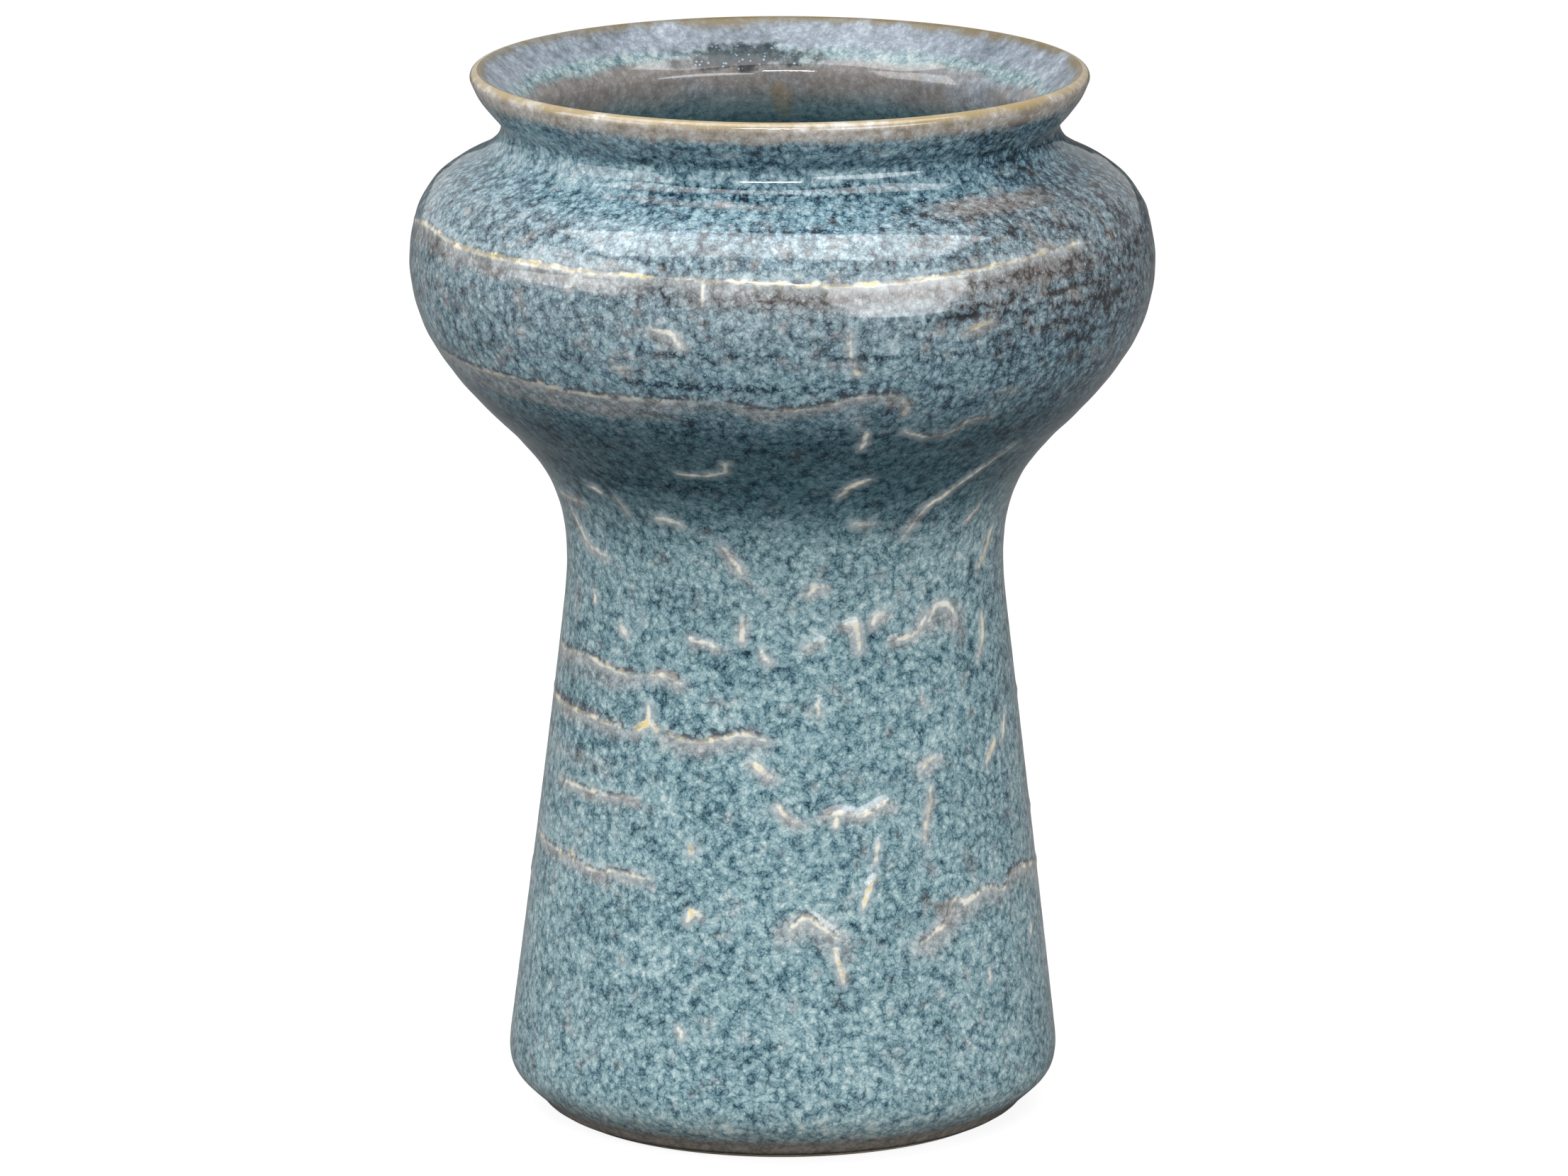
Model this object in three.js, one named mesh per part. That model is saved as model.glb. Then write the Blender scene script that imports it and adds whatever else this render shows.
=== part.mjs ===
// A stoneware flower vase: a thrown clay body on a turned foot ring, with a glaze coat outside and a
// glaze lining inside. The two coats meet on the crest of the lip, and the foot below the glaze line
// is bare clay.
// Millimetres, +Z up. The origin is the centre of the foot, on the plane the vase stands on.
import * as THREE from "three";

const HEIGHT = 220;

// Stations of the glazed outside, from the foot up. `before` and `after` say how far the outline
// holds a station's direction on either side of it.
const FOOT = { radius: 47.6, height: 0 };
const HEEL = { radius: 55.3, height: 6.9, after: 3.8 };
const STEM_BOTTOM = { radius: 57, height: 17, before: 2.8 };
const STEM_TOP = { radius: 46.2, height: 107, after: 16.4 };
const BOWL_UNDERSIDE = { radius: 56.2, height: 144.4, slope: 1, before: 14.5, after: 8.7 };
const BELLY = { radius: 77.3, height: 179, slope: 0, before: 15.4, after: 17.5 };
const SHOULDER = { radius: 64.8, height: 200.9, slope: -1.93, before: 4.6, after: 4.8 };
const NECK = { radius: 57.8, height: 208.7, slope: 0, before: 3.3, after: 1 };

// The lip ends in a round bead, between two angles on it
const LIP_RADIUS = 64.1;
const BEAD_RADIUS = 1.5;
const BEAD_OUTSIDE = { angle: THREE.MathUtils.degToRad(-15), before: 4.4 };
const BEAD_CREST = { angle: THREE.MathUtils.degToRad(90) };
const BEAD_INSIDE = { angle: THREE.MathUtils.degToRad(145), after: 3 };

// Wall, floor and glaze
const WALL = 5.6;
const THROAT_HOLD = 3.5;
const FLOOR_HEIGHT = 9.5;
const FLOOR_CORNER = 9;
const FLOOR_CORNER_HOLD = 0.55 * FLOOR_CORNER;
const GLAZE = 0.7;
const BOND_GAP = 0.04;
const GLAZE_LINE_HEIGHT = 1.1;

// Foot ring
const RING_INNER_RADIUS = 38;
const RING_EDGE_BREAK = 0.3;
const RECESS_RADIUS = 35.5;
const RECESS_DEPTH = 2.6;

// Facets
const TURN_STEPS = 36;
const CURVE_STEPS = 4;

const GLAZE_BLUE = 0x5f8496;
const LINER_GREY = 0x77797c;
const CLAY_TAN = 0xa8977a;

const point = (radius, height) => new THREE.Vector2(radius, height);
const at = ({ radius, height }) => point(radius, height);
const runFrom = (a, b) => at(b).sub(at(a)).normalize();

// A station with its place and the unit direction that the outline runs in there.
const placed = (station, run) => ({ ...station, place: at(station), run });
const sloped = (station) => placed(station, point(station.slope, 1).normalize());

const BEAD_CENTRE = point(LIP_RADIUS - BEAD_RADIUS, HEIGHT - BEAD_RADIUS);

// A station on the bead, whose outline runs round it from the outside over the crest.
function beaded(station) {
  const outward = point(Math.cos(station.angle), Math.sin(station.angle));
  const place = outward.clone().multiplyScalar(BEAD_RADIUS).add(BEAD_CENTRE);
  return { ...station, place, run: point(-outward.y, outward.x) };
}

function curve(path, from, to) {
  const first = from.place.clone().addScaledVector(from.run, from.after);
  const second = to.place.clone().addScaledVector(to.run, -to.before);
  path.bezierCurveTo(first.x, first.y, second.x, second.y, to.place.x, to.place.y);
}

function beadArc(path, from, to) {
  path.absarc(BEAD_CENTRE.x, BEAD_CENTRE.y, BEAD_RADIUS, from.angle, to.angle, false);
}

// The glazed outside, from the glaze line on the chamfer up to the crest of the lip.
function outsideOutline() {
  const chamferRun = runFrom(FOOT, HEEL);
  const stemRun = runFrom(STEM_BOTTOM, STEM_TOP);
  const glazeLine = at(FOOT).addScaledVector(chamferRun, GLAZE_LINE_HEIGHT / chamferRun.y);
  const bowl = [BOWL_UNDERSIDE, BELLY, SHOULDER, NECK].map(sloped);
  const stations = [placed(STEM_TOP, stemRun), ...bowl, beaded(BEAD_OUTSIDE)];

  const path = new THREE.Path();
  path.moveTo(glazeLine.x, glazeLine.y);
  path.lineTo(HEEL.radius, HEEL.height);
  curve(path, placed(HEEL, chamferRun), placed(STEM_BOTTOM, stemRun));
  path.lineTo(STEM_TOP.radius, STEM_TOP.height);
  stations.slice(1).forEach((station, i) => curve(path, stations[i], station));
  beadArc(path, BEAD_OUTSIDE, BEAD_CREST);
  return path.getPoints(CURVE_STEPS);
}

// Moves each point of an outline `distance` to the left of the way the outline runs.
function offsetLeft(outline, distance) {
  return outline.map((p, i) => {
    const before = outline[Math.max(i - 1, 0)];
    const after = outline[Math.min(i + 1, outline.length - 1)];
    const run = after.clone().sub(before).normalize();
    return point(p.x - run.y * distance, p.y + run.x * distance);
  });
}

// The glazed inside, from the crest of the lip down to the middle of the floor. Between the throat
// and the floor it follows the outside at a constant wall thickness.
function insideOutline(outside) {
  const cornerTop = FLOOR_HEIGHT + FLOOR_CORNER;
  const wall = offsetLeft(outside, WALL)
    .filter((p, i) => outside[i].y <= NECK.height && p.y > cornerTop)
    .reverse();

  const lip = new THREE.Path();
  const crest = beaded(BEAD_CREST).place;
  lip.moveTo(crest.x, crest.y);
  beadArc(lip, BEAD_CREST, BEAD_INSIDE);
  curve(lip, beaded(BEAD_INSIDE), { place: wall[0], run: point(0, -1), before: THROAT_HOLD });

  const downStem = runFrom(STEM_TOP, STEM_BOTTOM);
  const wallFoot = wall.at(-1).clone();
  wallFoot.addScaledVector(downStem, (cornerTop - wallFoot.y) / downStem.y);
  const floorEdge = point(wallFoot.x - FLOOR_CORNER, FLOOR_HEIGHT);
  const floor = new THREE.Path();
  floor.moveTo(wallFoot.x, wallFoot.y);
  curve(
    floor,
    { place: wallFoot, run: downStem, after: FLOOR_CORNER_HOLD },
    { place: floorEdge, run: point(-1, 0), before: FLOOR_CORNER_HOLD },
  );
  floor.lineTo(0, FLOOR_HEIGHT);
  return [...lip.getPoints(CURVE_STEPS), ...wall.slice(1), ...floor.getPoints(CURVE_STEPS)];
}

// The underside of the clay, from its middle out to the edge of the foot ring.
function undersideOutline() {
  return [
    point(0, RECESS_DEPTH),
    point(RECESS_RADIUS, RECESS_DEPTH),
    point(RING_INNER_RADIUS, 0),
    point(FOOT.radius - GLAZE - RING_EDGE_BREAK, 0),
    point(FOOT.radius - GLAZE, RING_EDGE_BREAK),
  ];
}

// Turns an outline round the vertical axis.
function turned(outline) {
  return new THREE.LatheGeometry(outline, TURN_STEPS).rotateX(Math.PI / 2);
}

// A coat of glaze under the surface that shows, a hairline clear of the clay. A coat that stops
// short of the axis needs its outline closed.
function coat(surface, back) {
  const outline = [...back.toReversed(), ...surface];
  return turned(surface.at(-1).x > 0 ? [...outline, outline[0]] : outline);
}

function piece(name, geometry, color, roughness) {
  const mesh = new THREE.Mesh(geometry, new THREE.MeshStandardMaterial({ color, roughness, metalness: 0 }));
  mesh.name = name;
  return mesh;
}

const outside = outsideOutline();
const surface = [...outside, ...insideOutline(outside).slice(1)];
const clay = offsetLeft(surface, GLAZE);
const coatBack = offsetLeft(surface, GLAZE - BOND_GAP);
const crest = outside.length - 1;

const vase = new THREE.Group();
vase.add(
  piece("stoneware_body", turned([...undersideOutline(), ...clay]), CLAY_TAN, 0.85),
  piece("outer_glaze", coat(surface.slice(0, crest + 1), coatBack.slice(0, crest + 1)), GLAZE_BLUE, 0.15),
  piece("liner_glaze", coat(surface.slice(crest), coatBack.slice(crest)), LINER_GREY, 0.12),
);

export default vase;
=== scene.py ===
"""Looks of a stoneware flower vase: fired clay, a flowing glaze outside and a glaze lining inside.

Lengths are millimetres and angles are degrees round from the front, positive towards +X, until a
mesh or a light is made. Heights are above the foot.
"""

import math
from collections import namedtuple

import bpy
import numpy as np
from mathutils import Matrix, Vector


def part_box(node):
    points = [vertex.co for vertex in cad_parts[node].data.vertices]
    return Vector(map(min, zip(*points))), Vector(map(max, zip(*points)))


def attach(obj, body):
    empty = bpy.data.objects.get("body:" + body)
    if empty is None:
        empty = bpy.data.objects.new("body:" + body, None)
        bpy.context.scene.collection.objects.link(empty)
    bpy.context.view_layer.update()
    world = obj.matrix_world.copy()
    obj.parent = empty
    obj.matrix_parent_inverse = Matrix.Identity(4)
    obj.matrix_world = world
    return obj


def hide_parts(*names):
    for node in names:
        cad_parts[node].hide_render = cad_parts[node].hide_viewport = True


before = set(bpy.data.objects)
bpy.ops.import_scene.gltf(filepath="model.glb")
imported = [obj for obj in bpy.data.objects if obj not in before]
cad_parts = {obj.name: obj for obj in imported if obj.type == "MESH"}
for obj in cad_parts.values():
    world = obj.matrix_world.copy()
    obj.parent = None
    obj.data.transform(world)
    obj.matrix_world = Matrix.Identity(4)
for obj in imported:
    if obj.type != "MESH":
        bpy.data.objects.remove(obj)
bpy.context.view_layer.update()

MM = 0.001
TINY = 1e-3
SEED = 11
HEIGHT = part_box("outer_glaze")[1].z / MM

# Mesh density
COLUMNS = 600
PLAIN_COLUMNS = 300
OUTSIDE_STEP = 0.7
INSIDE_STEP = 1.4
HIDDEN_STEP = 6.0

# ---------------------------------------------------------------------------------------------
# Outlines of the turned CAD nodes


def trace(node):
    """The node's outline in the +X half plane as (radius, height) rows, in order from its lowest
    point on the axis, or from its lowest point if it stays off the axis."""
    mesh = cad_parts[node].data
    places = {}
    for vertex in mesh.vertices:
        x, y, z = vertex.co / MM
        if x > -TINY and abs(y) < TINY:
            places[vertex.index] = (abs(round(x, 3)), round(z, 3))
    beside = {}
    for edge in mesh.edges:
        a, b = (places.get(i) for i in edge.vertices)
        if a and b and a != b:
            beside.setdefault(a, set()).add(b)
            beside.setdefault(b, set()).add(a)
    start = min(beside, key=lambda p: (p[0] > 0, p[1]))
    path = [start, max(beside[start])]
    while path[-1] != start and beside[path[-1]] - {path[-2]}:
        path.extend(beside[path[-1]] - {path[-2]})
    return np.array(path[:-1] if path[-1] == start else path)


def smooth(points, step, least=2):
    """A smooth run through the points, about `step` apart and with at least so many pieces between
    two of them. Straight stretches stay straight."""
    p = np.asarray(points, float)
    lengths = np.linalg.norm(np.diff(p, axis=0), axis=1)
    tangents = np.empty_like(p)
    tangents[1:-1] = (p[2:] - p[:-2]) / (lengths[1:] + lengths[:-1])[:, None]
    tangents[0] = (p[1] - p[0]) / lengths[0]
    tangents[-1] = (p[-1] - p[-2]) / lengths[-1]
    runs = []
    for a, b, ta, tb, length in zip(p, p[1:], tangents, tangents[1:], lengths):
        u = np.linspace(0, 1, max(least, math.ceil(length / step)) + 1)[:-1, None]
        hold = u * (1 - u) * length
        runs.append(a + (b - a) * u * u * (3 - 2 * u) + hold * (ta * (1 - u) - tb * u))
    return np.concatenate(runs + [p[-1:]])


def straight(points, step):
    """Points about `step` apart on straight lines between the given ones."""
    runs = []
    for a, b in zip(points, points[1:]):
        count = math.ceil(np.linalg.norm(b - a) / step)
        runs.append(a + (b - a) * np.linspace(0, 1, count + 1)[:-1, None])
    return np.concatenate(runs + [points[-1:]])


def arc_lengths(outline):
    return np.concatenate([[0], np.cumsum(np.linalg.norm(np.diff(outline, axis=0), axis=1))])


def outward(outline):
    """Unit normals of an outline that runs up the outside or down the inside."""
    run = np.gradient(outline, axis=0)
    run /= np.linalg.norm(run, axis=1)[:, None]
    return np.stack([run[:, 1], -run[:, 0]], axis=1)


outer = trace("outer_glaze")
outer_crest = outer[:, 1].argmax()
OUTSIDE = smooth(outer[: outer_crest + 1], OUTSIDE_STEP)
OUTER_BACK = smooth(outer[outer_crest + 1 :], HIDDEN_STEP, least=1)

liner = trace("liner_glaze")
liner_crest = liner[:, 1].argmax()
LINER_BACK = smooth(liner[:liner_crest], HIDDEN_STEP, least=1)
INSIDE = smooth(liner[liner_crest:], INSIDE_STEP)

body = trace("stoneware_body")
ring_edge = np.flatnonzero(body[:, 1] == 0)[-1] + 1
FOOT = straight(body[: ring_edge + 1], OUTSIDE_STEP)
CLAY = smooth(body[ring_edge:], HIDDEN_STEP, least=1)

TURNS = np.linspace(-180, 180, COLUMNS, endpoint=False)
OUTSIDE_ARC = arc_lengths(OUTSIDE)
INSIDE_ARC = arc_lengths(INSIDE)

# ---------------------------------------------------------------------------------------------
# Marks in the outside glaze

# A ridge is where the glaze has drawn together. Its skirt is the taupe zone below it and its pool
# the dark glaze above it, as depths. Ochre 0 is a cream crest and 1 an ochre one.
Ridge = namedtuple("Ridge", "width ochre skirt pool points")

FRONT_RIDGES = [
    # The two long rings of the bowl
    Ridge(0.45, 0.9, 5, 1.5, [(-88, 189), (-74, 191), (-60, 190), (-45, 190), (-30, 190), (-18, 190)]),
    Ridge(
        0.35, 0.8, 7, 1,
        [(-18, 190), (-8, 190), (3, 189.5), (13, 189), (27, 190), (40, 191), (54, 192)],
    ),
    Ridge(0.3, 0.6, 5, 2, [(-76, 166), (-59, 165), (-45, 165), (-31, 164), (-20, 164.5), (-10, 165)]),
    Ridge(0.3, 0.3, 4, 2, [(-10, 165), (-3, 163), (6, 164), (12, 166), (18, 165.5), (20, 164)]),
    Ridge(0.6, 0.9, 2, 0, [(19, 165), (20, 163), (20, 161)]),
    Ridge(0.3, 0.4, 3, 1, [(21, 157), (26, 155), (30, 155.5), (33, 158), (38, 158)]),
    # Small marks on the bowl
    Ridge(0.3, 0.1, 1, 0, [(-33, 189), (-34, 186)]),
    Ridge(0.3, 0.1, 1, 0, [(-12, 189), (-12, 185)]),
    Ridge(0.35, 0.1, 3, 0, [(-20, 180), (-17, 179), (-15, 176)]),
    Ridge(0.5, 0.9, 3, 1, [(29, 179), (33, 180)]),
    Ridge(0.5, 0.6, 1, 0, [(11, 171.5), (12, 171)]),
    Ridge(0.4, 0.5, 3, 0, [(44, 192), (46, 192)]),
    Ridge(0.25, 0.1, 1, 0, [(10, 180), (10, 176), (11, 172)]),
    Ridge(0.4, 0.1, 1, 0, [(-44, 176), (-43, 176)]),
    Ridge(0.35, 0.5, 1, 0, [(-27, 171), (-24, 171)]),
    Ridge(0.3, 0.2, 1, 0, [(13, 158), (14, 157), (14, 153)]),
    # Where the bowl meets the stem
    Ridge(0.3, 0.2, 2, 0, [(-22, 146), (-16, 146), (-12, 147)]),
    Ridge(0.4, 0.5, 1, 0, [(-12, 147), (-11, 149.5)]),
    Ridge(0.35, 0.1, 2, 0, [(-51, 139), (-47, 138)]),
    Ridge(0.3, 0.1, 2, 0, [(-43, 138), (-41, 134)]),
    Ridge(0.35, 0.6, 3, 1, [(-72, 134), (-58, 134)]),
    Ridge(0.4, 0.1, 3, 0, [(-68, 131), (-62, 125), (-53, 123)]),
    Ridge(0.3, 0.4, 2, 0, [(-33, 134), (-28, 134), (-26, 133)]),
    Ridge(0.35, 0.2, 3, 0, [(-16, 129), (-14, 127), (-11, 123)]),
    Ridge(0.45, 0.3, 3, 0, [(12, 141), (15, 144), (18, 145)]),
    Ridge(0.35, 0.2, 3, 1, [(31, 130), (35, 136), (40, 139), (46, 144), (51, 149)]),
    Ridge(0.3, 0.4, 2, 0, [(52, 131), (55, 134)]),
    Ridge(0.45, 0.9, 2, 0, [(61, 119), (65, 124), (67, 127)]),
    Ridge(0.3, 0.1, 2, 0, [(17, 134), (22, 134)]),
    # Upper stem
    Ridge(0.35, 0.4, 5, 2, [(-84, 101), (-76, 100), (-61, 101), (-50, 100), (-39, 100)]),
    Ridge(0.55, 0.2, 4, 2, [(-36, 100.5), (-31, 101), (-27, 99.5)]),
    Ridge(0.4, 0.5, 4, 3, [(-88, 90), (-75, 89), (-64, 89), (-53, 89), (-42, 88)]),
    Ridge(0.65, 1, 3, 0, [(-40, 88), (-38, 89.5), (-35, 91)]),
    Ridge(0.35, 0.5, 0, 0, [(-35, 90), (-36, 94)]),
    Ridge(0.5, 0.8, 2, 0, [(-35, 91), (-33, 89)]),
    Ridge(0.4, 0.5, 5, 2.5, [(-31, 89), (-25, 88), (-21, 88), (-16, 89), (-11, 90), (-5, 89)]),
    Ridge(0.55, 0.4, 3, 0, [(-8, 84.5), (-6, 83), (-3, 81)]),
    Ridge(0.3, 0.1, 2, 0, [(-25, 109), (-20, 108), (-17, 107)]),
    Ridge(0.45, 0.2, 2, 0, [(-11, 114), (-11, 109)]),
    Ridge(0.35, 0.1, 2, 0, [(-6, 107), (-4, 105)]),
    Ridge(0.6, 0.1, 2, 0, [(-47, 109), (-45, 108)]),
    Ridge(0.35, 0.2, 1, 0, [(-60, 115), (-59, 112.5)]),
    Ridge(0.35, 0.5, 3, 1, [(-70, 74), (-54, 74), (-47, 74), (-37, 75)]),
    Ridge(0.45, 0.3, 3, 0, [(15, 112), (18, 112), (19, 107)]),
    Ridge(0.4, 0.2, 3, 0, [(23, 112), (25, 114), (27, 114)]),
    Ridge(0.4, 0.2, 3, 1, [(28, 108), (35, 109), (39, 112)]),
    Ridge(0.4, 0.1, 6, 0, [(40, 111), (43, 114), (47, 113.5), (50, 110)]),
    Ridge(0.3, 0.1, 2, 0, [(5, 108), (9, 109)]),
    Ridge(0.5, 0.1, 3, 0, [(6, 119), (8, 121), (10, 120)]),
    Ridge(0.4, 0.5, 2, 0, [(62, 110), (61, 105), (58, 101)]),
    Ridge(0.3, 0.1, 1, 0, [(8, 97), (8, 94)]),
    Ridge(0.3, 0.1, 1, 0, [(36, 96), (37, 94)]),
    Ridge(0.45, 0.8, 2, 0, [(57, 79), (59, 81), (62, 83)]),
    Ridge(0.3, 0.3, 2, 0, [(66, 82), (69, 87)]),
    Ridge(0.4, 0.2, 4, 0, [(35, 81), (37, 83), (40, 83)]),
    Ridge(0.4, 0.3, 2, 0, [(37, 77), (36, 73), (35, 70), (34, 66)]),
    Ridge(0.35, 0.3, 3, 0, [(-2, 75.5), (1, 73), (4, 72)]),
    Ridge(0.35, 0.1, 3, 1, [(8, 73), (12, 74), (17, 73), (20, 73.5), (24, 75), (27, 74)]),
    # Lower stem
    Ridge(0.5, 0.8, 1, 0, [(-58, 61), (-57, 58.5)]),
    Ridge(0.3, 0.4, 4, 1, [(-86, 60), (-70, 59.5), (-56, 59), (-49, 58), (-41, 59), (-32, 58.5)]),
    Ridge(0.7, 1, 1, 0, [(-22, 66.5), (-22, 65)]),
    Ridge(0.6, 0.8, 2, 0, [(-22, 51), (-21, 53), (-19, 52)]),
    Ridge(0.4, 0.8, 1, 0, [(-38, 41.5), (-38, 41)]),
    Ridge(0.35, 0.2, 1, 0, [(22, 67), (21, 63)]),
    Ridge(0.5, 0.7, 1, 0, [(21, 60), (19, 57), (18, 54)]),
    Ridge(0.4, 0.2, 6, 1, [(1, 50), (3, 52), (5, 53), (8, 51), (12, 48)]),
    Ridge(0.5, 0.8, 2, 0, [(11, 46), (12, 43), (13, 39)]),
    Ridge(0.4, 0.2, 6, 1, [(31, 45), (35, 47), (39, 49), (41, 53), (45, 52), (52, 54), (59, 52)]),
    Ridge(0.4, 0.3, 5, 2, [(59, 52), (65, 55), (76, 54), (90, 52)]),
    Ridge(0.4, 0.3, 1, 0, [(12, 72.5), (12, 71)]),
    Ridge(0.3, 0.2, 1, 0, [(-23, 29), (-22, 27)]),
    Ridge(0.3, 0.2, 1, 0, [(72, 42), (71, 40)]),
    Ridge(0.3, 0.1, 1, 0, [(51, 37), (51, 35)]),
]

# The same firing marked the far side: the front's marks come again there, turned and shifted.
BACK_TURN = 181
BACK_SHIFT = 1.6

# Rows of fired colour that run part of the way round: pool is dark glaze, skirt is taupe.
Band = namedtuple("Band", "height half_depth start end pool skirt")
BANDS = [
    Band(205.2, 2.1, -42, 34, 0.6, 0),
    Band(209, 2.0, -180, 180, 0.35, 0),
    Band(202.5, 1.2, -38, 8, 0, 0.5),
    Band(201, 2.6, 22, 60, 0.15, 0.95),
    Band(198.5, 0.9, -24, 18, 0.55, 0),
    Band(187, 1.5, -22, 62, 0.45, 0.75),
    Band(184, 0.6, 14, 80, 0.5, 0.5),
    Band(181.5, 0.7, -78, -40, 0.35, 0.3),
    Band(180.5, 0.8, 10, 84, 0.55, 0.35),
    Band(177, 0.7, 28, 86, 0.5, 0.4),
    Band(174, 0.9, -30, 84, 0.4, 0.25),
    Band(172, 0.8, -66, -20, 0.4, 0.45),
    Band(168, 1.0, -35, 20, 0.5, 0.1),
    Band(161, 1.6, -75, -12, 0, 0.7),
    Band(152, 3.0, -70, 60, 0.2, 0.35),
    Band(143, 2.0, -70, -5, 0.35, 0.3),
    Band(96, 1.4, -80, -45, 0, 0.4),
    Band(79, 2.0, -85, -40, 0, 0.4),
    Band(58, 1.5, -80, -30, 0, 0.4),
]


def on_outside(turn, height):
    """A place as (turn, arc length up the outside)."""
    return turn, float(np.interp(height, OUTSIDE[:, 1], OUTSIDE_ARC))


def ragged(ridge, rng):
    """The ridge as a dense run of (turn, arc) places that wanders a little."""
    middle = np.mean([height for _, height in ridge.points])
    degrees_per_mm = math.degrees(1 / np.interp(middle, OUTSIDE[:, 1], OUTSIDE[:, 0]))
    places = np.array([on_outside(*point) for point in ridge.points])
    places[:, 0] /= degrees_per_mm
    dense = smooth(places, 1.1)
    dense[1:-1] += rng.normal(0, 0.16, (len(dense) - 2, 2))
    dense[:, 0] *= degrees_per_mm
    return dense


class Marks:
    """Fields over the outside, one value for each row and column of its mesh."""

    REACH = 7.0

    def __init__(self):
        shape = (len(OUTSIDE), COLUMNS)
        self.gap = np.full(shape, self.REACH)
        self.ochre = np.zeros(shape)
        self.skirt = np.zeros(shape)
        self.pool = np.zeros(shape)

    def lay_ridge(self, ridge, rng):
        dense = ragged(ridge, rng)
        last = len(dense) - 1
        reach = max(self.REACH * 0.4, ridge.skirt, ridge.pool) + 1
        for i, (a, b) in enumerate(zip(dense, dense[1:])):
            low, high = sorted((a[1], b[1]))
            rows = slice(*np.searchsorted(OUTSIDE_ARC, [low - reach, high + reach]))
            radius = OUTSIDE[rows, :1]
            spread = math.degrees(reach / radius.min())
            first = math.floor((min(a[0], b[0]) - spread + 180) / 360 * COLUMNS)
            final = math.ceil((max(a[0], b[0]) + spread + 180) / 360 * COLUMNS)
            columns = np.arange(first, final) % COLUMNS
            away = (TURNS[columns] - a[0] + 180) % 360 - 180
            x = np.radians(away) * radius
            y = OUTSIDE_ARC[rows, None] - a[1]
            run_x, run_y = np.radians(b[0] - a[0]) * radius, b[1] - a[1]
            along = np.clip((x * run_x + y * run_y) / (run_x**2 + run_y**2), 0, 1)
            side = y - along * run_y
            distance = np.hypot(x - along * run_x, side)
            before, after = i + along + 0.3, last - i - along + 0.3
            taper = 2 * np.sqrt(np.clip(before * after, 0, None)) / (last + 0.6)
            window = np.ix_(range(*rows.indices(len(OUTSIDE))), columns)
            self.widen(window, distance - ridge.width * taper, ridge.ochre)
            self.deepen(self.skirt, window, distance, side < 0, ridge.skirt, taper)
            self.deepen(self.pool, window, distance, side > 0, ridge.pool, taper)

    def widen(self, window, gap, ochre):
        nearer = gap < self.gap[window]
        self.ochre[window] = np.where(nearer, ochre, self.ochre[window])
        self.gap[window] = np.where(nearer, gap, self.gap[window])

    def deepen(self, field, window, distance, on_side, depth, taper):
        if depth:
            strength = np.clip(1 - distance / depth, 0, 1) * on_side * np.minimum(1, taper * 1.6)
            field[window] = np.maximum(field[window], strength)

    def lay_band(self, band):
        middle = on_outside(0, band.height)[1]
        wander = 0.7 * np.sin(np.radians(TURNS * 3 + band.height * 40))
        across = np.abs(OUTSIDE_ARC[:, None] - middle - wander) / band.half_depth
        centre, half = (band.start + band.end) / 2, (band.end - band.start) / 2
        beyond = np.abs((TURNS - centre + 180) % 360 - 180) - half
        inside = np.clip(-beyond / 12, 0, 1) if half < 180 else np.ones(COLUMNS)
        strength = np.clip(1.5 - across, 0, 1) * inside
        self.pool = np.maximum(self.pool, strength * band.pool)
        self.skirt = np.maximum(self.skirt, strength * band.skirt)


def lay_marks():
    marks = Marks()
    rng = np.random.default_rng(SEED)
    for ridge in FRONT_RIDGES:
        marks.lay_ridge(ridge, rng)
    for ridge in FRONT_RIDGES:
        turn, rise = BACK_TURN + rng.normal(0, 4), BACK_SHIFT * rng.normal()
        moved = [(t + turn, h + rise) for t, h in ridge.points]
        marks.lay_ridge(ridge._replace(points=moved), rng)
    for band in BANDS:
        marks.lay_band(band)
        if band.end - band.start < 360:
            far = band._replace(start=band.start + BACK_TURN, end=band.end + BACK_TURN)
            marks.lay_band(far)
    return marks


MARKS = lay_marks()

# ---------------------------------------------------------------------------------------------
# Shells


def hump(place, middle, width):
    """A smooth hump, 1 at its middle."""
    return np.exp(-(((place - middle) / width) ** 2))


def throwing_rings(arc):
    """Fine spiral rings from throwing, deepest on the bowl, as a rise of the outside."""
    coarse_pitch, fine_pitch = 6.4, 2.3
    spiral = np.radians(TURNS)
    height = np.interp(arc, OUTSIDE_ARC, OUTSIDE[:, 1])
    bowl = hump(height, 178, 30)
    coarse = np.sin(2 * np.pi * arc[:, None] / coarse_pitch - spiral)
    fine = np.sin(2 * np.pi * arc[:, None] / fine_pitch + 2 * spiral + 1)
    return (0.01 + 0.02 * bowl[:, None]) * (coarse + 0.2 * fine)


def outside_relief():
    """How far the glazed outside stands off its smooth outline. The glaze rises on the ridges and in
    a roll just above the bare clay, and it thins to nothing at the line and at the lip's crest."""
    ridges = 0.16 * hump(np.maximum(MARKS.gap, 0), 0, 0.8)
    relief = ridges + 0.04 * MARKS.skirt - 0.03 * MARKS.pool + throwing_rings(OUTSIDE_ARC)
    roll = 0.28 * hump(OUTSIDE_ARC, 1.6, 1.3)
    near_crest = np.clip((OUTSIDE_ARC[-1] - OUTSIDE_ARC) / 4, 0, 1)
    near_line = np.clip(OUTSIDE_ARC / 0.8, 0, 1)
    return (relief * near_line[:, None] + roll[:, None]) * near_crest[:, None]


def as_grid(outline, columns):
    """An outline with each of its places repeated all the way round."""
    return np.repeat(outline[:, None, :], columns, axis=1)


def thrown(x, y, z):
    """The whole vase is a little out of round and its axis sways, as a hand-thrown pot's does."""
    share = z / HEIGHT
    sway = 0.9 * np.sin(np.pi * share) - 0.5 * share
    turn = np.arctan2(x, -y)
    swell = 1 + 0.0018 * share * np.cos(2 * turn + 0.6)
    return x * swell + sway, y * swell, z


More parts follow.
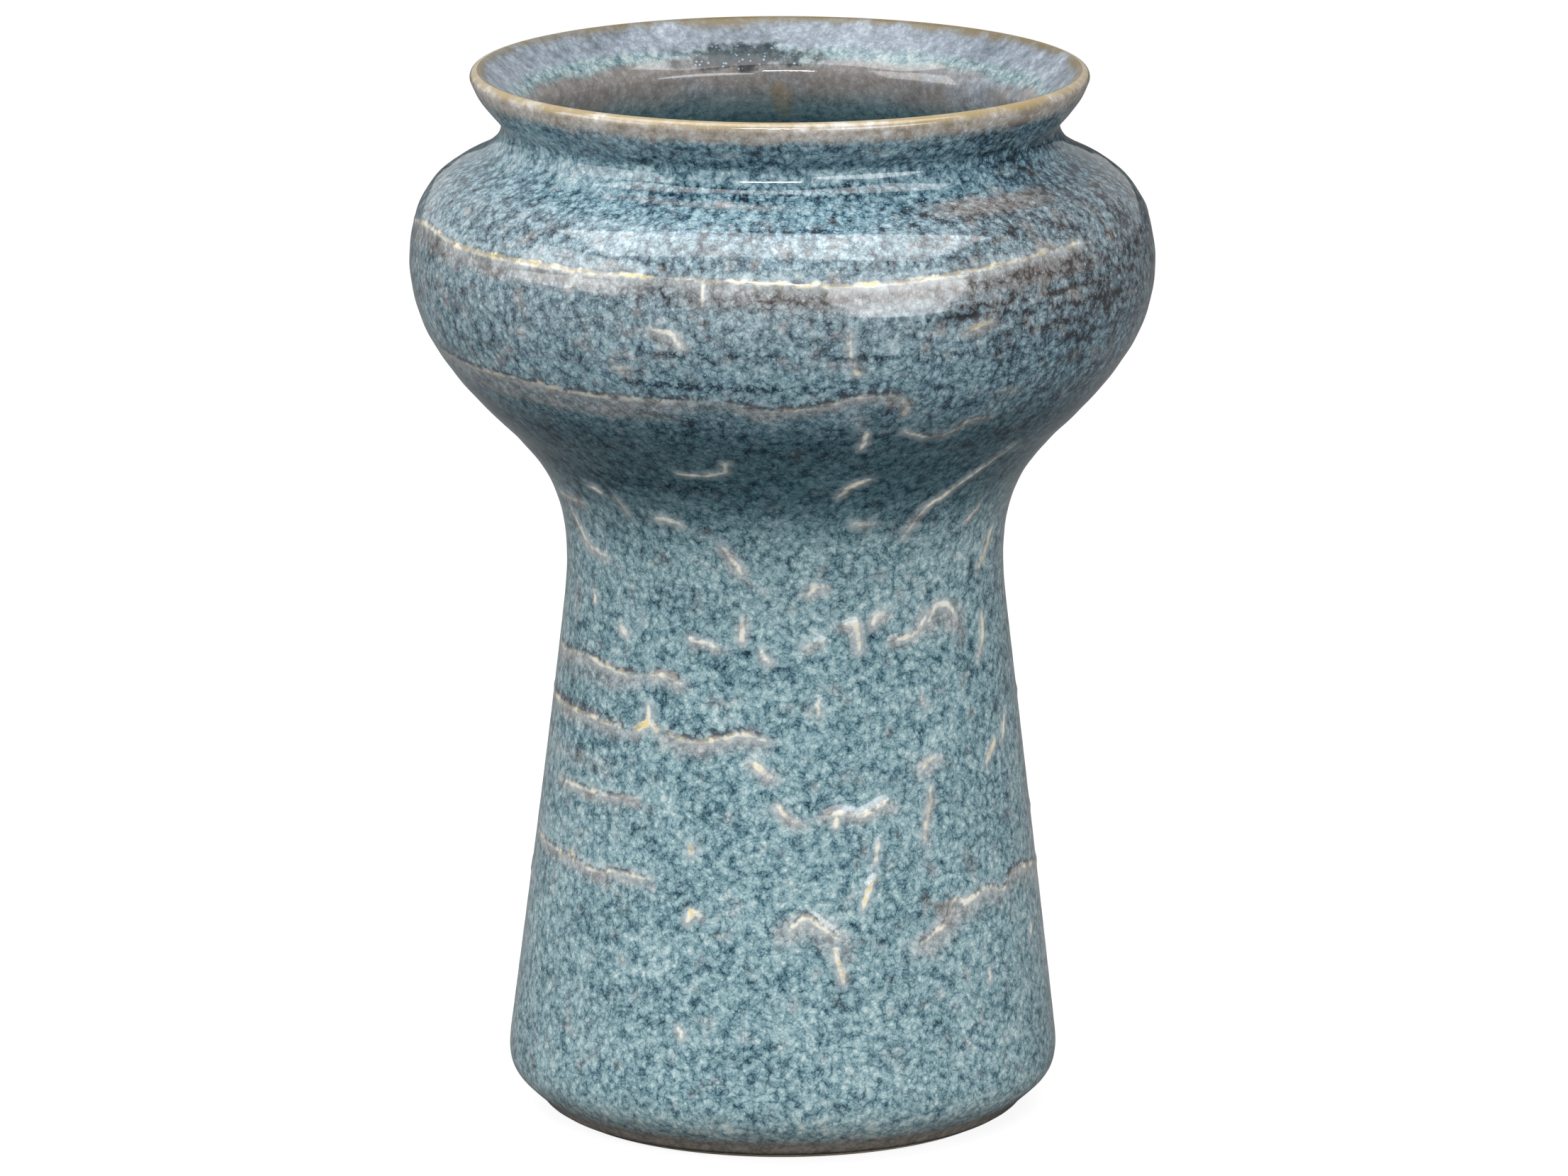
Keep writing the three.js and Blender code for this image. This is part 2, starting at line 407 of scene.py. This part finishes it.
def in_vertex_order(grid, loop):
    """A grid's values in the order of its shell's vertices: the rings, then any ends on the axis."""
    if loop:
        return grid.reshape(-1, *grid.shape[2:])
    return np.concatenate([grid[1:-1].reshape(-1, *grid.shape[2:]), grid[0, :1], grid[-1, :1]])


def shell(name, grid, loop, fields):
    """A closed mesh from a grid of (radius, height) places. The grid's outline either closes on
    itself or starts and ends on the axis. Each field is stored as one number for each vertex."""
    columns = grid.shape[1]
    turn = np.radians(np.linspace(-180, 180, columns, endpoint=False))
    x, y, z = thrown(grid[..., 0] * np.sin(turn), -grid[..., 0] * np.cos(turn), grid[..., 1])
    vertices = in_vertex_order(np.stack([x, y, z], axis=-1) * MM, loop)
    rings = len(grid) if loop else len(grid) - 2
    index = np.arange(rings * columns).reshape(rings, columns)
    below = index if loop else index[:-1]
    above = np.roll(index, -1, axis=0) if loop else index[1:]
    quads = np.stack([below, np.roll(below, -1, 1), np.roll(above, -1, 1), above], axis=-1)
    faces = quads.reshape(-1, 4).tolist()
    if not loop:
        first, last = rings * columns, rings * columns + 1
        faces += [[b, a, first] for a, b in zip(index[0].tolist(), np.roll(index[0], -1).tolist())]
        faces += [[a, b, last] for a, b in zip(index[-1].tolist(), np.roll(index[-1], -1).tolist())]
    mesh = bpy.data.meshes.new(name)
    mesh.from_pydata(vertices.tolist(), [], faces)
    mesh.shade_smooth()
    for field, values in fields.items():
        stored = mesh.attributes.new(field, "FLOAT", "POINT")
        spread = np.broadcast_to(values, grid.shape[:2])
        stored.data.foreach_set("value", in_vertex_order(spread, loop).astype(np.float32))
    piece = bpy.data.objects.new(name, mesh)
    bpy.context.scene.collection.objects.link(piece)
    return piece


def level_crest(piece, crest_ring, face_ring, columns):
    """Makes the ring of faces that ends on the crest shade as if the surface went on over it, so that
    the two coats meet without a line."""
    mesh = piece.data
    corners = np.zeros(len(mesh.loops), np.int32)
    mesh.loops.foreach_get("vertex_index", corners)
    corners_per_face = np.zeros(len(mesh.polygons), np.int32)
    mesh.polygons.foreach_get("loop_total", corners_per_face)
    faces = np.repeat(np.arange(len(corners_per_face)), corners_per_face)
    meeting = (corners // columns == crest_ring) & (faces // columns == face_ring)
    normals = np.zeros((len(corners), 3), np.float32)
    normals[meeting] = (0, 0, 1)
    mesh.normals_split_custom_set(normals.tolist())


def behind(back, surface, arc):
    """The arc length of the surface in front of each place on a coat's back."""
    away = np.linalg.norm(back[:, None, :] - surface[None, :, :], axis=-1)
    return arc[away.argmin(axis=1)]


def outer_glaze_coat():
    surface = as_grid(OUTSIDE, COLUMNS) + outside_relief()[..., None] * outward(OUTSIDE)[:, None, :]
    grid = np.concatenate([surface, as_grid(OUTER_BACK, COLUMNS)])
    arc = np.concatenate([OUTSIDE_ARC, behind(OUTER_BACK, OUTSIDE, OUTSIDE_ARC)])[:, None]
    unmarked = np.zeros((len(OUTER_BACK), COLUMNS))
    fields = {
        "from_line": arc,
        "from_crest": OUTSIDE_ARC[-1] - arc,
        "gap": np.concatenate([MARKS.gap, unmarked + MARKS.REACH]),
        "ochre": np.concatenate([MARKS.ochre, unmarked]),
        "skirt": np.concatenate([MARKS.skirt, unmarked]),
        "pool": np.concatenate([MARKS.pool, unmarked]),
    }
    piece = shell("outer_glaze_coat", grid, True, fields)
    crest = len(OUTSIDE) - 1
    level_crest(piece, crest, crest - 1, COLUMNS)
    return piece


def liner_glaze_coat():
    outline = np.concatenate([LINER_BACK, INSIDE])
    depth = np.concatenate([behind(LINER_BACK, INSIDE, INSIDE_ARC), INSIDE_ARC])[:, None]
    piece = shell("liner_glaze_coat", as_grid(outline, PLAIN_COLUMNS), False, {"from_crest": depth})
    crest = len(LINER_BACK) - 1
    level_crest(piece, crest, crest, PLAIN_COLUMNS)
    return piece


def clay_body():
    outline = np.concatenate([FOOT, CLAY[1:]])
    return shell("clay_body", as_grid(outline, PLAIN_COLUMNS), False, {})


# ---------------------------------------------------------------------------------------------
# Materials


def seen(red, green, blue):
    """A colour given as it is seen, 0 to 255, as the linear colour that a shader takes."""
    shares = [c / 255 for c in (red, green, blue)]
    return tuple(c / 12.92 if c < 0.04045 else ((c + 0.055) / 1.055) ** 2.4 for c in shares) + (1,)


def is_socket(value):
    return isinstance(value, bpy.types.NodeSocket)


class Shader:
    """One material's nodes. A method that adds a node returns the node's output."""

    def __init__(self, name):
        self.material = bpy.data.materials.new(name)
        self.material.use_nodes = True
        self.nodes = self.material.node_tree.nodes
        self.surface = self.nodes["Principled BSDF"]
        self.place = self.add("TexCoord").outputs["Object"]

    def add(self, kind, inputs=(), **settings):
        node = self.nodes.new("ShaderNode" + kind)
        for name, value in settings.items():
            setattr(node, name, value)
        for name, value in dict(inputs).items():
            self.plug(node.inputs[name], value)
        return node

    def plug(self, socket, value):
        if is_socket(value):
            self.material.node_tree.links.new(value, socket)
        else:
            socket.default_value = value

    def math(self, operation, *values, clamp=False):
        node = self.add("Math", operation=operation, use_clamp=clamp)
        for socket, value in zip(node.inputs, values):
            self.plug(socket, value)
        return node.outputs[0]

    def total(self, *terms):
        """The sum of (weight, value) terms and plain numbers."""
        result = sum(t for t in terms if isinstance(t, (int, float)))
        for weight, value in (t for t in terms if isinstance(t, tuple)):
            result = self.math("MULTIPLY_ADD", value, weight, result)
        return result

    def field(self, name):
        return self.add("Attribute", attribute_name=name).outputs["Fac"]

    def noise(self, size, place=None, detail=2.0, rough=0.5):
        """Noise from 0 to 1 with features about `size` mm across."""
        inputs = {
            "Vector": place or self.place,
            "Scale": 1 / (size * MM),
            "Detail": detail,
            "Roughness": rough,
        }
        return self.add("TexNoise", inputs)

    def warped(self, size, reach):
        """The place, shifted at random by about `reach` mm in swirls about `size` mm across."""
        shift = self.add("VectorMath", operation="SUBTRACT")
        self.plug(shift.inputs[0], self.noise(size, detail=0.0).outputs["Color"])
        self.plug(shift.inputs[1], (0.5, 0.5, 0.5))
        return self.combine("MULTIPLY_ADD", shift.outputs[0], (reach * 2 * MM,) * 3, self.place)

    def combine(self, operation, *vectors):
        node = self.add("VectorMath", operation=operation)
        for socket, value in zip(node.inputs, vectors):
            self.plug(socket, value)
        return node.outputs[0]

    def length(self, vector):
        return self.add("VectorMath", {"Vector": vector}, operation="LENGTH").outputs["Value"]

    def cells(self, size, place, feature="F1"):
        """Cells about `size` mm across. Distance is 0 in a cell's middle."""
        return self.add("TexVoronoi", {"Vector": place, "Scale": 1 / (size * MM)}, feature=feature)

    def step(self, value, low, high, start=0.0, end=1.0):
        """Goes smoothly from start to end as value goes from low to high."""
        inputs = {"Value": value, "From Min": low, "From Max": high, "To Min": start, "To Max": end}
        return self.add("MapRange", inputs, interpolation_type="SMOOTHSTEP").outputs["Result"]

    def between(self, value, rise, fall):
        """A band of 1 that fades in over the first pair of values and out over the second."""
        return self.math("MULTIPLY", self.step(value, *rise), self.step(value, *fall))

    def ramp(self, value, *stops):
        node = self.add("ValToRGB", {"Fac": value})
        ends = node.color_ramp.elements
        while len(ends) < len(stops):
            ends.new(0.5)
        for element, (position, colour) in zip(ends, stops):
            element.position, element.color = position, colour
        return node.outputs["Color"]

    def mix(self, share, a, b):
        node = self.add("Mix", data_type="RGBA")
        self.plug(node.inputs[0], share)
        self.plug(node.inputs[6], a)
        self.plug(node.inputs[7], b)
        return node.outputs[2]

    def finish(self, colour, roughness, height, depth):
        """Sets the surface. Height 0 to 1 stands for `depth` mm of relief."""
        bump = self.add("Bump", {"Height": height, "Distance": depth * MM, "Strength": 1.0})
        self.plug(self.surface.inputs["Base Color"], colour)
        self.plug(self.surface.inputs["Roughness"], roughness)
        self.plug(self.surface.inputs["Normal"], bump.outputs["Normal"])
        self.surface.inputs["IOR"].default_value = 1.5
        return self.material


# Blue glaze from its darkest pools to its palest cells
BLUE = [
    (0.1, seen(22, 30, 38)),
    (0.2, seen(38, 60, 71)),
    (0.3, seen(66, 94, 106)),
    (0.38, seen(88, 117, 126)),
    (0.46, seen(109, 137, 144)),
    (0.54, seen(127, 153, 159)),
    (0.63, seen(144, 168, 172)),
    (0.78, seen(184, 196, 194)),
]
# The same glaze where it runs thin and breaks to taupe
TAUPE = [
    (0.1, seen(62, 59, 58)),
    (0.26, seen(100, 97, 95)),
    (0.44, seen(122, 124, 125)),
    (0.6, seen(150, 152, 154)),
    (0.78, seen(178, 180, 178)),
]
CREAM = seen(222, 219, 208)
OCHRE = seen(216, 194, 124)
HONEY = seen(138, 122, 88)
TAN_FROST = [
    (0.1, seen(124, 117, 108)),
    (0.4, seen(158, 152, 144)),
    (0.62, seen(178, 175, 171)),
    (0.9, seen(212, 213, 214)),
]
BLUE_FROST = [
    (0.1, seen(104, 114, 122)),
    (0.4, seen(140, 151, 163)),
    (0.62, seen(166, 178, 190)),
    (0.9, seen(208, 216, 226)),
]
# Brown-grey glaze in the strip above the foot
FOOT_BROWN = [(0.1, seen(86, 80, 76)), (0.6, seen(142, 132, 121))]
# Glaze inside the throat
UMBER = [(0.0, seen(94, 90, 88)), (0.5, seen(134, 130, 127)), (1.0, seen(170, 171, 174))]
BARE_CLAY = [(0.15, seen(166, 149, 122)), (0.5, seen(206, 191, 160)), (0.85, seen(228, 214, 186))]
FOOT_EDGE = seen(30, 38, 46)
HALO = seen(168, 176, 178)
PALE_DOT = seen(190, 204, 204)
WHITE = (1, 1, 1, 1)
# Factors for the bowl's blue glaze, which leans to slate, and for the painted shade under the bowl, where
# its overhang shadows the top of the stem
BOWL_TINT = (1.0, 0.98, 1.02, 1)
HOLLOW_SHADE = (0.3, 0.39, 0.43, 1)
# Roughness of the glaze, and the depth of its cells in the shading
GLOSS = 0.07
GLAZE_BUMP = 0.012


def around(shader, along, up):
    """A place whose noise makes streaks: about `along` mm round the vase by `up` mm high."""
    return shader.combine("MULTIPLY", shader.place, (1 / along, 1 / along, 1 / up))


def veins(shader, size, width):
    """1 but for thin winding lines of 0. Width is how far they reach, to 0.3 or so."""
    noise = shader.noise(size, detail=1.0).outputs["Fac"]
    return shader.step(shader.math("ABSOLUTE", shader.total(-0.5, (1.0, noise))), 0, width)


def glaze_cells(shader, pool=0.0):
    """The texture of the glaze: (tone, where 0 is dark and 1 is pale; relief, 0 to 1). Pale cloudlets
    stand close together. Dark glaze shows between them, and more of it in the rifts."""
    cloudlet = shader.cells(1.5, shader.warped(2.2, 0.5), "SMOOTH_F1").outputs["Distance"]
    crumb = shader.cells(0.65, shader.place).outputs["Distance"]
    grain = shader.noise(0.3, detail=0.0).outputs["Fac"]
    clump = shader.noise(3.0, detail=1.0).outputs["Fac"]
    cloud = shader.noise(10, detail=1.0).outputs["Fac"]
    gaps = shader.noise(1 / MM, around(shader, 3.2, 2.0), detail=1.0).outputs["Fac"]
    rift = shader.step(shader.total(0.0, (1.0, gaps), (0.12, pool)), 0.49, 0.62)
    groove = shader.total(-1.0, (1.0, veins(shader, 1.7, shader.total(0.1, (0.16, rift)))))
    groove = shader.math("MULTIPLY", groove, shader.total(0.13, (0.42, rift)))
    spread = shader.math("MULTIPLY", shader.total(-0.27, (1.0, cloudlet)), rift)
    # Painted highlight: a small pale spot at the middle of each crumb cell, added to the tone
    painted_glint = shader.step(crumb, 0.24, 0.06)
    tone = shader.total(
        0.43,
        (-0.5, cloudlet),
        (-0.5, spread),
        (-0.16, crumb),
        (0.09, painted_glint),
        (1.0, groove),
        (0.3, grain),
        (0.28, clump),
        (0.22, cloud),
    )
    return tone, shader.total(1.0, (-0.8, cloudlet)), rift


def specks(shader, size, reach, rift):
    """Tiny pale dots, most of them in the rifts."""
    node = shader.cells(size, shader.place)
    chance = shader.add("SeparateColor", {"Color": node.outputs["Color"]}).outputs[0]
    chosen = shader.math("GREATER_THAN", shader.total(0.0, (1.0, chance), (0.8, rift)), 0.9)
    return shader.math("MULTIPLY", chosen, shader.step(node.outputs["Distance"], reach, reach * 0.4))


def patch_at(shader, centre, reach):
    """A ragged patch: 1 at its centre, 0 beyond its reach along x, y and z."""
    offset = shader.combine("SUBTRACT", shader.place, [c * MM for c in centre])
    length = shader.length(shader.combine("DIVIDE", offset, [r * MM for r in reach]))
    ragged = shader.noise(4.0, detail=3.0, rough=0.6).outputs["Fac"]
    return shader.step(shader.total(-0.9, (1.0, length), (1.8, ragged)), 1.0, 0.5)


def lip_colours(shader, tone, colour, reach, frost):
    """Honey on the crest of the lip, then mottled frost for about `reach` mm."""
    wander = shader.noise(6).outputs["Fac"]
    patch = shader.noise(16, detail=3.0).outputs["Fac"]
    distance = shader.total(-1.8, (1.0, shader.field("from_crest")), (3.6, wander))
    frosted = shader.total(-0.5, (1.0, tone), (0.5, patch), (0.5, wander))
    spread = shader.step(distance, reach + 1.5, reach - 1.5)
    colour = shader.mix(spread, colour, shader.ramp(frosted, *frost))
    honey = shader.mix(shader.step(frosted, 0.25, 0.75), HONEY, seen(146, 138, 118))
    edge = shader.total(0.0, (1.0, distance), (3.0, patch))
    return shader.mix(shader.step(edge, 4.8, 1.6), colour, honey)


def neck_bands(shader, level, across):
    """How the tone changes round the neck: a pale band, less pale on the right, over a dark one."""
    pale = shader.between(level, (205.5, 208), (214, 211))
    dark = shader.between(level, (200, 203), (207.2, 204.5))
    dark = shader.math("MULTIPLY", dark, shader.step(across, -30, 20))
    dulled = shader.math("MULTIPLY", pale, shader.step(across, 10, 45))
    return shader.total(0.0, (0.13, pale), (-0.03, dark), (-0.12, dulled))


def ridge_colours(shader, tone, colour, ripple, wander, level):
    """Cream lines with an ochre heart where the glaze has drawn together, and a pale halo. The lines
    are fainter round the lower bowl. Gives (colour, how much of a line each place is)."""
    gap = shader.total(-0.64, (1.0, shader.field("gap")), (0.8, ripple), (0.4, wander))
    strength = shader.step(shader.total(0.0, (1.0, wander), (-0.3, tone)), 0.5, 0.2, 0.3, 0.9)
    faint = shader.between(level, (156, 164), (174, 170))
    strength = shader.math("MULTIPLY", strength, shader.total(1.0, (-0.45, faint)))
    halo = shader.math("MULTIPLY", shader.step(gap, 2.2, 0.0, 0.0, 0.6), strength)
    line = shader.math("MULTIPLY", shader.step(gap, 0.32, -0.28), strength)
    heart = shader.step(shader.total(0.0, (1.0, gap), (2.0, ripple)), 1.1, 0.5)
    heart = shader.math("MULTIPLY", heart, shader.field("ochre"))
    colour = shader.mix(halo, colour, HALO)
    return shader.mix(line, colour, shader.mix(heart, CREAM, OCHRE)), line


def foot_colours(shader, tone, colour, ripple):
    """A smooth brown strip above the glaze's lower line, with a dark edge on the line itself."""
    rise = shader.total(0.0, (1.0, shader.field("from_line")), (1.2, ripple))
    brown = shader.ramp(shader.total(-0.1, (1.0, tone)), *FOOT_BROWN)
    colour = shader.mix(shader.step(rise, 7.8, 4.6, 0.0, 0.9), colour, brown)
    return shader.mix(shader.step(rise, 1.9, 1.2, 0.0, 0.8), colour, FOOT_EDGE)


def outer_glaze():
    shader = Shader("outer_glaze")
    skirt, pool = shader.field("skirt"), shader.field("pool")
    tone, relief, rift = glaze_cells(shader, pool)
    place = shader.add("SeparateXYZ", {"Vector": shader.combine("MULTIPLY", shader.place, (1 / MM,) * 3)})
    across, height = place.outputs["X"], place.outputs["Z"]
    ripple = shader.noise(1.3, detail=1.0).outputs["Fac"]
    wander = shader.noise(4.5, detail=1.0).outputs["Fac"]
    level = shader.total(0.0, (1.0, height), (6.0, wander))

    # Rows of streaks, strongest on the bowl and on its darker right-hand flank
    streaks = shader.noise(1 / MM, around(shader, 26, 1.5), detail=2.0).outputs["Fac"]
    bowl = shader.step(height, 145, 165)
    flank = shader.math("MULTIPLY", shader.step(across, 15, 65), bowl)
    weight = shader.total(0.35, (0.75, bowl), (0.4, flank))
    rows = shader.math("MULTIPLY", shader.total(-0.5, (1.0, streaks)), weight)
    tone = shader.total(0.0, (1.0, tone), (1.1, rows), (-0.2, pool), (-0.08, flank))

    # Paler on the heel and in the skirts, darker from the shoulder up
    heel = shader.step(level, 17, 9)
    shoulder = shader.step(level, 186, 194)
    bands = neck_bands(shader, level, across)
    tone = shader.total(0.0, (1.0, tone), (1.0, bands), (0.1, heel), (0.08, skirt), (-0.04, shoulder))

    # Taupe where the glaze is thin
    blush = shader.step(wander, 0.52, 0.8, 0.0, 0.45)
    top = shader.between(level, (168, 186), (206, 200))
    thin = shader.total(-0.1, (0.9, skirt), (0.3, ripple), (-0.5, rows), (1.0, blush), (0.3, top))
    thin = shader.step(shader.total(0.0, (1.0, thin), (-0.6, pool), (0.06, flank)), 0.0, 1.0)
    blue = shader.combine("MULTIPLY", shader.ramp(tone, *BLUE), shader.mix(bowl, WHITE, BOWL_TINT))
    colour = shader.mix(thin, blue, shader.ramp(tone, *TAUPE))
    dots = specks(shader, 1.1, 0.16, rift)
    colour = shader.mix(shader.math("MULTIPLY", dots, 0.7), colour, PALE_DOT)

    # Painted shade under the bowl: the colour is darkened there in place of the shadow of the bowl's
    # overhang, and the glaze is less glossy there
    painted_shade_band = shader.between(level, (127, 145), (170, 156))
    colour = shader.combine("MULTIPLY", colour, shader.mix(painted_shade_band, WHITE, HOLLOW_SHADE))
    shader.plug(shader.surface.inputs["Specular IOR Level"], shader.total(0.5, (-0.4, painted_shade_band)))

    colour, line = ridge_colours(shader, tone, colour, ripple, wander, level)
    colour = lip_colours(shader, tone, colour, 5.2, TAN_FROST)
    colour = foot_colours(shader, tone, colour, ripple)
    relief = shader.total(0.0, (0.4, relief), (0.6, line))
    return shader.finish(colour, shader.total(GLOSS, (0.1, line)), relief, GLAZE_BUMP)


def liner_glaze():
    shader = Shader("liner_glaze")
    tone, relief, _ = glaze_cells(shader)
    wander = shader.noise(11, detail=3.0).outputs["Fac"]
    depth = shader.total(-3.0, (1.0, shader.field("from_crest")), (6.0, wander))

    # Blue under the lip, then cloudy umber in the throat, then blue again down to the floor
    cloudy = shader.step(shader.noise(17, detail=2.0).outputs["Fac"], 0.46, 0.62, 0.0, 0.7)
    clouds = shader.ramp(shader.total(-0.15, (1.0, tone)), *BLUE_FROST)
    umber = shader.mix(cloudy, shader.ramp(tone, *UMBER), clouds)
    deep = shader.ramp(shader.total(0.18, (0.6, tone)), *BLUE)
    blue = shader.ramp(shader.total(0.1, (1.0, tone)), *BLUE)
    colour = shader.mix(shader.step(depth, 10, 13), blue, umber)
    colour = shader.mix(shader.step(depth, 17, 25), colour, deep)
    colour = lip_colours(shader, tone, colour, 8.5, BLUE_FROST)

    # A dark knot at the back with pale blue dots, and a drip of honey glaze below it
    knot = patch_at(shader, (-9, 57, 212.7), (19, 20, 3.3))
    colour = shader.mix(shader.math("MULTIPLY", knot, 0.8), colour, seen(20, 26, 34))
    dots = shader.math("MULTIPLY", specks(shader, 1.1, 0.3, knot), knot)
    colour = shader.mix(dots, colour, seen(150, 180, 205))
    drip = patch_at(shader, (0, 52, 203), (2.4, 20, 6))
    colour = shader.mix(shader.math("MULTIPLY", drip, 0.4), colour, seen(150, 130, 90))

    # Darker and satin towards the lip, and duller on the knot
    dimmed = shader.step(depth, 22, 4, 0.85, 0.48)
    dim = shader.add("CombineXYZ", {"X": dimmed, "Y": dimmed, "Z": dimmed}).outputs[0]
    colour = shader.combine("MULTIPLY", colour, dim)
    satin = shader.step(depth, 13, 8)
    shine = shader.total(0.5, (-0.3, satin), (-0.16, knot))
    shader.plug(shader.surface.inputs["Specular IOR Level"], shine)
    return shader.finish(colour, shader.total(GLOSS, (0.25, satin)), relief, GLAZE_BUMP)


def fired_clay():
    shader = Shader("fired_clay")
    grain = shader.noise(0.5, detail=4.0, rough=0.7).outputs["Fac"]
    cloud = shader.noise(14, detail=3.0).outputs["Fac"]
    colour = shader.ramp(shader.total(-0.3, (0.9, grain), (0.7, cloud)), *BARE_CLAY)
    grog = shader.step(shader.cells(1.6, shader.place).outputs["Distance"], 0.1, 0.05)
    colour = shader.mix(grog, colour, seen(70, 60, 50))
    ring_pitch = 1.4
    radius = shader.length(shader.combine("MULTIPLY", shader.place, (1, 1, 0)))
    turned = shader.math("SINE", shader.math("MULTIPLY", radius, 2 * math.pi / (ring_pitch * MM)))
    relief = shader.total(0.3, (0.5, grain), (0.1, turned))
    return shader.finish(colour, 0.82, relief, 0.15)


def dress(piece, node, material):
    piece.data.materials.append(material)
    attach(piece, "root")
    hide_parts(node)


dress(outer_glaze_coat(), "outer_glaze", outer_glaze())
dress(liner_glaze_coat(), "liner_glaze", liner_glaze())
dress(clay_body(), "stoneware_body", fired_clay())

# ---------------------------------------------------------------------------------------------
# Floor, light and camera


def aim(thing, target):
    thing.rotation_mode = "QUATERNION"
    thing.rotation_quaternion = (Vector(target) - thing.location).to_track_quat("-Z", "Y")


def pale_floor():
    """Pale to the camera, with soft shadows. It throws less light than that back up at the vase."""
    bpy.ops.mesh.primitive_plane_add(size=60, location=(0, 0, -0.0002))
    floor = bpy.context.object
    floor.name = "floor"
    shader = Shader("floor")
    cloud = shader.noise(400).outputs["Fac"]
    pale = shader.ramp(cloud, (0.3, (0.11, 0.11, 0.11, 1)), (0.7, (0.13, 0.13, 0.13, 1)))
    in_view = shader.add("LightPath").outputs["Is Camera Ray"]
    colour = shader.mix(in_view, (0.14, 0.14, 0.14, 1), pale)
    shader.surface.inputs["Emission Color"].default_value = (1, 1, 1, 1)
    shader.plug(shader.surface.inputs["Emission Strength"], shader.math("MULTIPLY", in_view, 0.9))
    floor.data.materials.append(shader.finish(colour, 0.9, cloud, 0.01))


def softbox(name, shape, azimuth, elevation, distance, width, height, brightness):
    """An area light that faces the bowl, placed by its azimuth round from the front, its elevation
    and its distance in metres. Its brightness is against white in the picture."""
    light = bpy.data.lights.new(name, "AREA")
    light.shape = shape
    light.size, light.size_y = width, height
    area = width * height * (math.pi / 4 if shape == "ELLIPSE" else 1)
    light.energy = brightness * math.pi * area
    lamp = bpy.data.objects.new(name, light)
    bpy.context.scene.collection.objects.link(lamp)
    turn, rise = math.radians(azimuth), math.radians(elevation)
    centre = Vector((0, 0, 0.8 * HEIGHT * MM))
    flat = math.cos(rise)
    direction = Vector((flat * math.sin(turn), -flat * math.cos(turn), math.sin(rise)))
    lamp.location = centre + distance * direction
    aim(lamp, centre)
    lamp.visible_camera = False


def surroundings():
    """White to the camera. To the glaze it is pale behind the vase and dim in front."""
    world = bpy.data.worlds.new("studio")
    bpy.context.scene.world = world
    world.use_nodes = True
    nodes, links = world.node_tree.nodes, world.node_tree.links
    behind_left = nodes.new("ShaderNodeVectorMath")
    behind_left.operation = "DOT_PRODUCT"
    links.new(nodes.new("ShaderNodeTexCoord").outputs["Generated"], behind_left.inputs[0])
    behind_left.inputs[1].default_value = (-0.5, 0.87, 0)
    shade = nodes.new("ShaderNodeMapRange")
    for name, value in {"From Min": 0.0, "From Max": 0.9, "To Min": 0.14, "To Max": 0.5}.items():
        shade.inputs[name].default_value = value
    links.new(behind_left.outputs["Value"], shade.inputs["Value"])
    mix = nodes.new("ShaderNodeMix")
    mix.data_type = "RGBA"
    mix.inputs[7].default_value = (1, 1, 1, 1)
    links.new(shade.outputs["Result"], mix.inputs[6])
    links.new(nodes.new("ShaderNodeLightPath").outputs["Is Camera Ray"], mix.inputs[0])
    links.new(mix.outputs[2], nodes["Background"].inputs["Color"])


def camera():
    """Far off with a long lens, a little above the vase and looking down at it."""
    data = bpy.data.cameras.new("camera")
    data.sensor_width = 36
    data.lens = 257.4
    lens = bpy.data.objects.new("camera", data)
    bpy.context.scene.collection.objects.link(lens)
    lens.location = (0, -2.28, 0.6255)
    aim(lens, (0.0004, 0, HEIGHT / 2 * MM))
    data.clip_end = 100
    bpy.context.scene.camera = lens


pale_floor()
softbox("overhead", "RECTANGLE", -8, 80, 1.25, 2.3, 1.0, 5.0)
softbox("left", "RECTANGLE", -70, 22, 1.5, 1.1, 0.9, 4.3)
softbox("right", "ELLIPSE", 36, 11, 1.6, 1.35, 0.6, 6.8)
softbox("front_strip", "RECTANGLE", -4, 27.5, 1.6, 0.62, 0.045, 120)
surroundings()
camera()
bpy.context.scene.view_settings.view_transform = "Standard"
